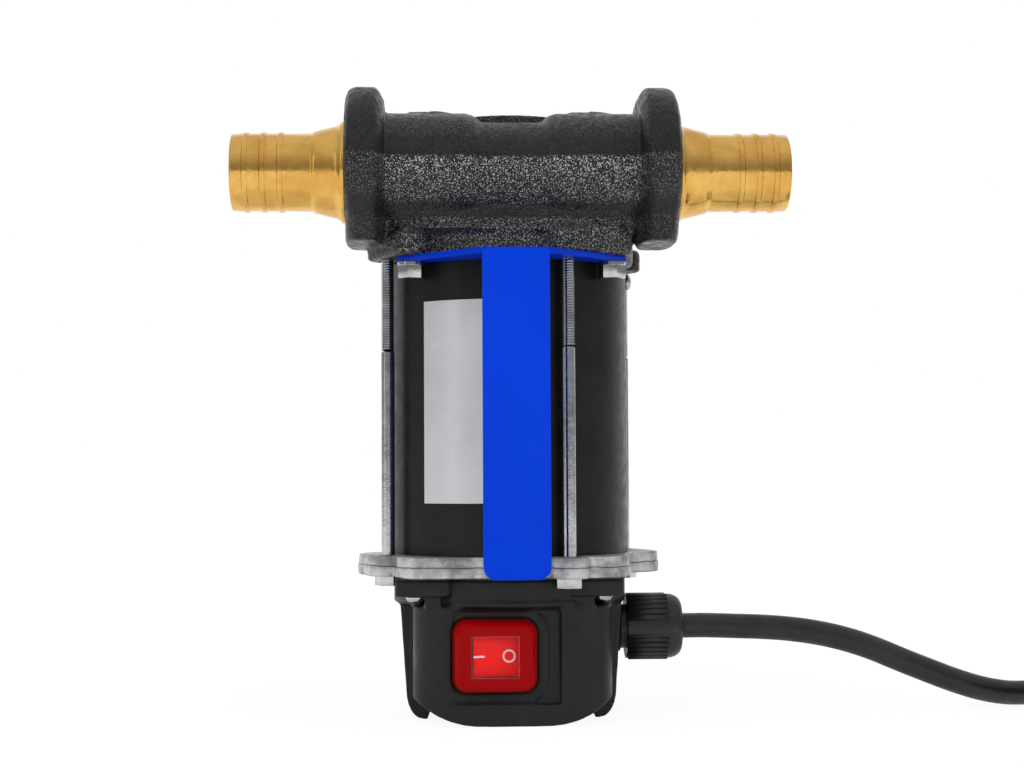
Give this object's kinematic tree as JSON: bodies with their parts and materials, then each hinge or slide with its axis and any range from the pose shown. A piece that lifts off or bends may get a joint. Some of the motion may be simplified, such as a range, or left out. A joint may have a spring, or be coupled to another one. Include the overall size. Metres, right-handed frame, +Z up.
{
  "type": "fuel transfer pump",
  "caption": "Upright 12 V vane pump for diesel: cast head with a hose barb on each side, tube motor, sheet handle, switch box and a cable that ends in battery clamps.",
  "frame": {"origin": "centre of the switch box's flat base, on the motor axis", "axes": "+Z up along the motor axis, +X towards the outlet and the cable gland, -Y towards the handle and the switch"},
  "size_m": [0.55, 0.1981, 0.268],
  "materials": {
    "black_plastic": "satin moulded black plastic",
    "black_rubber": "matt black rubber",
    "zinc": "bright zinc-plated steel",
    "red_plastic": "gloss red plastic with white marks",
    "brass": "turned brass",
    "red_silicone": "clear red silicone rubber",
    "gland_nylon": "satin black nylon",
    "cable_sheath": "satin black cable sheath",
    "cast_aluminium": "blotchy die-cast aluminium",
    "bearing_steel": "ground steel",
    "tube_paint": "satin black paint",
    "ferrite": "grey ferrite",
    "core_steel": "stacked sheet steel",
    "copper": "enamelled copper",
    "phenolic": "brown phenolic",
    "carbon": "pressed carbon",
    "spring_steel": "drawn spring wire",
    "label_foil": "brushed foil",
    "cast_black": "black paint over rough cast iron",
    "sintered_steel": "sintered steel",
    "cover_steel": "blackened steel",
    "blue_paint": "gloss blue powder coat",
    "tie_nylon": "black nylon",
    "lead_red": "red lead sheath",
    "lead_black": "black lead sheath",
    "clamp_steel": "nickel-plated steel",
    "grip_red": "dipped red vinyl",
    "grip_black": "dipped black vinyl"
  },
  "bodies": {
    "pump": {"switch_box": "black_plastic", "box_gasket": "black_rubber", "box_screws": "zinc", "switch_housing": "black_plastic", "switch_terminals": "brass", "switch_cap": "red_silicone", "gland_body": "gland_nylon", "gland_locknut": "gland_nylon", "gland_insert": "black_rubber", "gland_nut": "gland_nylon", "cable_inner": "cable_sheath", "end_flange": "cast_aluminium", "bearing_outer_rings": "bearing_steel", "motor_tube": "tube_paint", "field_magnets": "ferrite", "brush_holder": "phenolic", "brushes": "carbon", "brush_springs": "spring_steel", "nameplate": "label_foil", "side_screws": "zinc", "tie_bolts": "zinc", "pump_body": "cast_black", "shaft_seal": "black_rubber", "cover_seal": "black_rubber", "pump_cover": "cast_black", "cover_screws": "cover_steel", "relief_spring": "spring_steel", "relief_plug": "cast_black", "inlet_barb": "brass", "outlet_barb": "brass", "barb_seals": "black_rubber", "handle": "blue_paint", "handle_bolts": "zinc", "handle_washers": "zinc", "cable": "cable_sheath", "cable_coil": "cable_sheath", "cable_ties": "tie_nylon", "cable_boot": "cable_sheath", "lead_red": "lead_red", "lead_black": "lead_black", "clamp_jaws_fixed": "clamp_steel", "clamp_pins": "clamp_steel", "clamp_springs": "spring_steel", "grip_fixed_red": "grip_red", "grip_fixed_black": "grip_black"},
    "rotor": {"armature_core": "core_steel", "armature_windings": "copper", "commutator": "copper", "motor_shaft": "bearing_steel", "pump_rotor": "sintered_steel", "vanes": "phenolic", "bearing_inner_rings": "bearing_steel", "bearing_balls": "bearing_steel"},
    "rocker": {"rocker": "red_plastic"},
    "relief_poppet": {"relief_poppet": "brass"},
    "clamp_red": {"jaw_moving_red": "clamp_steel", "grip_moving_red": "grip_red"},
    "clamp_black": {"jaw_moving_black": "clamp_steel", "grip_moving_black": "grip_black"}
  },
  "joints": [
    {"name": "rotor_spin", "type": "hinge", "parent": "pump", "child": "rotor", "pos_m": [0, 0, 0.1], "axis": [0, 0, 1], "continuous": true},
    {"name": "rocker_tilt", "type": "hinge", "parent": "pump", "child": "rocker", "pos_m": [-0.008, -0.0419, 0.0292], "axis": [0, 0, -1], "range_deg": [0, 20]},
    {"name": "relief_lift", "type": "slide", "parent": "pump", "child": "relief_poppet", "axis": [0, 0, 1], "range_m": [0, 0.004], "stiffness_N_per_m": 2500, "springref_m": -0.004, "deforming": ["relief_spring"]},
    {"name": "clamp_red_open", "type": "hinge", "parent": "pump", "child": "clamp_red", "pos_m": [0.331, 0.048, 0.01], "axis": [0, 0, 1], "range_deg": [0, 18], "stiffness_Nm_per_rad": 0.6, "springref_deg": -22.92},
    {"name": "clamp_black_open", "type": "hinge", "parent": "pump", "child": "clamp_black", "pos_m": [0.331, 0.074, 0.01], "axis": [0, 0, 1], "range_deg": [0, 18], "stiffness_Nm_per_rad": 0.6, "springref_deg": -22.92}
  ]
}
